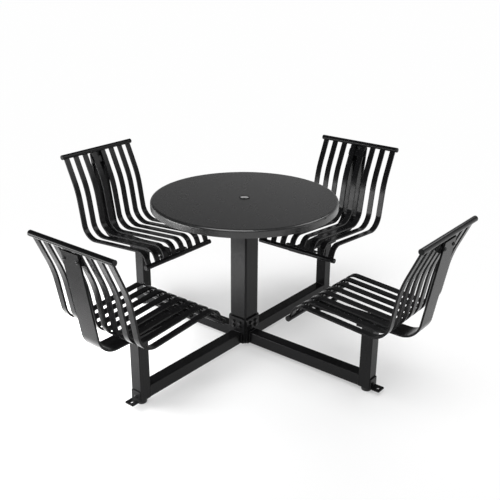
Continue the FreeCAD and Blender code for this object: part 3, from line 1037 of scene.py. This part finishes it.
def lay_floor(stage):
    """Pale floor, white away from the table, that keeps the shadow of the table."""
    bpy.ops.object.select_all(action="DESELECT")
    bpy.ops.mesh.primitive_plane_add(size=stage.floor_size)
    floor = bpy.context.view_layer.objects.active
    floor.name = "studio_floor"
    material = bpy.data.materials.new("studio_floor")
    material.use_nodes = True
    tree = material.node_tree
    tree.nodes.clear()
    diffuse = tree.nodes.new("ShaderNodeBsdfDiffuse")
    diffuse.inputs["Color"].default_value = (*stage.floor_color, 1.0)
    white = tree.nodes.new("ShaderNodeEmission")
    white.inputs["Strength"].default_value = 1.0
    path = tree.nodes.new("ShaderNodeLightPath").outputs
    seen = math_node(tree, "MAXIMUM", path["Is Camera Ray"], path["Is Glossy Ray"])
    seen = math_node(tree, "MAXIMUM", seen, path["Is Transmission Ray"])
    coordinates = tree.nodes.new("ShaderNodeTexCoord")
    distance = tree.nodes.new("ShaderNodeVectorMath")
    distance.operation = "LENGTH"
    tree.links.new(coordinates.outputs["Object"], distance.inputs[0])
    near, far = stage.floor_near, stage.floor_far
    spread = value_band(material, distance.outputs["Value"], near, far, FLOOR_SPAN)
    mix = tree.nodes.new("ShaderNodeMixShader")
    tree.links.new(math_node(tree, "MULTIPLY", seen, spread), mix.inputs["Fac"])
    tree.links.new(diffuse.outputs["BSDF"], mix.inputs[1])
    tree.links.new(white.outputs["Emission"], mix.inputs[2])
    output = tree.nodes.new("ShaderNodeOutputMaterial")
    tree.links.new(mix.outputs["Shader"], output.inputs["Surface"])
    floor.data.materials.append(material)


def raise_walls(stage):
    """White walls that are dimmer on the left above the horizon, under a dim ceiling."""
    world = bpy.data.worlds.new("studio")
    bpy.context.scene.world = world
    world.use_nodes = True
    tree = world.node_tree
    tree.nodes.clear()
    background = tree.nodes.new("ShaderNodeBackground")
    output = tree.nodes.new("ShaderNodeOutputWorld")
    coordinates = tree.nodes.new("ShaderNodeTexCoord")
    split = tree.nodes.new("ShaderNodeSeparateXYZ")
    tree.links.new(coordinates.outputs["Generated"], split.inputs["Vector"])
    wall, ceiling = (stage.horizon,) * 3, (stage.ceiling,) * 3
    tone = colour_band(world, split.outputs["Z"], wall, ceiling, (WALL_TOP, CEILING_START))
    tree.links.new(tone, background.inputs["Color"])
    side = tree.nodes.new("ShaderNodeVectorMath")
    side.operation = "DOT_PRODUCT"
    azimuth = stage.camera_azimuth
    side.inputs[1].default_value = (math.cos(azimuth), math.sin(azimuth), 0.0)
    tree.links.new(coordinates.outputs["Generated"], side.inputs[0])
    upper = value_band(world, side.outputs["Value"], stage.left_wall, 1.0, WALL_SPAN)
    lower = value_band(world, split.outputs["Z"], 1.0, 0.0, LOW_WALL_SPAN)
    strength = math_node(tree, "MAXIMUM", upper, lower)
    tree.links.new(strength, background.inputs["Strength"])
    tree.links.new(background.outputs["Background"], output.inputs["Surface"])


def aim_lamp(name, data, direction):
    """A lamp at the origin that shines in a direction."""
    lamp = bpy.data.objects.new(name, data)
    lamp.rotation_euler = Vector(direction).to_track_quat("-Z", "Y").to_euler()
    bpy.context.scene.collection.objects.link(lamp)
    return lamp


def soft_box(name, power, place, target, size):
    """A rectangular light that the camera doesn't see."""
    data = bpy.data.lights.new(name, "AREA")
    data.shape = "RECTANGLE"
    data.size, data.size_y = size
    data.energy = power
    lamp = aim_lamp(name, data, Vector(target) - Vector(place))
    lamp.location = place
    lamp.visible_camera = False


def hang_lights(stage):
    """Wide overhead light and four soft boxes."""
    sun = bpy.data.lights.new("top_light", "SUN")
    sun.energy = stage.top_light
    sun.angle = TOP_LIGHT_SPREAD
    aim_lamp("top_light", sun, TOP_LIGHT_AIM)
    soft_box(
        "left_soft_box", stage.left_light,
        place=(-1.6, -2.4, 0.4), target=(0.0, -0.3, 0.3), size=(2.6, 0.7),
    )
    soft_box(
        "floor_soft_box", stage.floor_light,
        place=(-1.02, -1.04, 0.45), target=(-1.05, -1.07, 0.0), size=(1.1, 1.1),
    )
    soft_box(
        "back_soft_box", stage.back_light,
        place=(1.1, 1.3, 2.3), target=(0.0, 0.0, 0.6), size=(1.7, 1.2),
    )
    soft_box(
        "right_soft_box", stage.right_light,
        place=(2.3, 0.5, 0.55), target=(1.0, 0.0, 0.5), size=(1.0, 0.8),
    )


class TABLE_OT_build_stage(bpy.types.Operator):
    """Lay the floor, light the studio and place the camera"""

    bl_idname = "table.build_stage"
    bl_label = "Build the stage"

    def execute(self, context):
        stage = context.scene.table_stage
        context.scene.view_settings.view_transform = "Standard"
        lay_floor(stage)
        raise_walls(stage)
        hang_lights(stage)
        place_camera(stage)
        return {"FINISHED"}


class TABLE_PT_sidebar(bpy.types.Panel):
    """Sizes, finishes and steps of the table"""

    bl_idname = "TABLE_PT_sidebar"
    bl_label = "Swivel seat table"
    bl_space_type = "VIEW_3D"
    bl_region_type = "UI"
    bl_category = "Table"

    def draw(self, context):
        scene = context.scene
        for group in (scene.table_coat, scene.table_metal, scene.table_stage):
            box = self.layout.box()
            for name in group.__annotations__:
                box.prop(group, name)
        for step in STEPS:
            self.layout.operator(step.bl_idname)


STEPS = (
    TABLE_OT_coat_frame,
    TABLE_OT_ease_plates,
    TABLE_OT_press_top,
    TABLE_OT_line_umbrella_hole,
    TABLE_OT_bend_seats,
    TABLE_OT_weld_frame,
    TABLE_OT_weld_seats,
    TABLE_OT_bolt_frame,
    TABLE_OT_bolt_seats,
    TABLE_OT_turn_feet,
    TABLE_OT_fit_bearings,
    TABLE_OT_build_stage,
)
GROUPS = (TableCoatSettings, TableMetalSettings, TableStageSettings)
CLASSES = (*GROUPS, *STEPS, TABLE_PT_sidebar)


def register():
    for one in CLASSES:
        bpy.utils.register_class(one)
    bpy.types.Scene.table_coat = bpy.props.PointerProperty(type=TableCoatSettings)
    bpy.types.Scene.table_metal = bpy.props.PointerProperty(type=TableMetalSettings)
    bpy.types.Scene.table_stage = bpy.props.PointerProperty(type=TableStageSettings)


def unregister():
    del bpy.types.Scene.table_stage
    del bpy.types.Scene.table_metal
    del bpy.types.Scene.table_coat
    for one in reversed(CLASSES):
        bpy.utils.unregister_class(one)


def main():
    register()
    bpy.ops.table.coat_frame()
    bpy.ops.table.ease_plates()
    bpy.ops.table.press_top()
    bpy.ops.table.line_umbrella_hole()
    bpy.ops.table.bend_seats()
    bpy.ops.table.weld_frame()
    bpy.ops.table.weld_seats()
    bpy.ops.table.bolt_frame()
    bpy.ops.table.bolt_seats()
    bpy.ops.table.turn_feet()
    bpy.ops.table.fit_bearings()
    bpy.ops.table.build_stage()


if __name__ == "__main__":
    main()
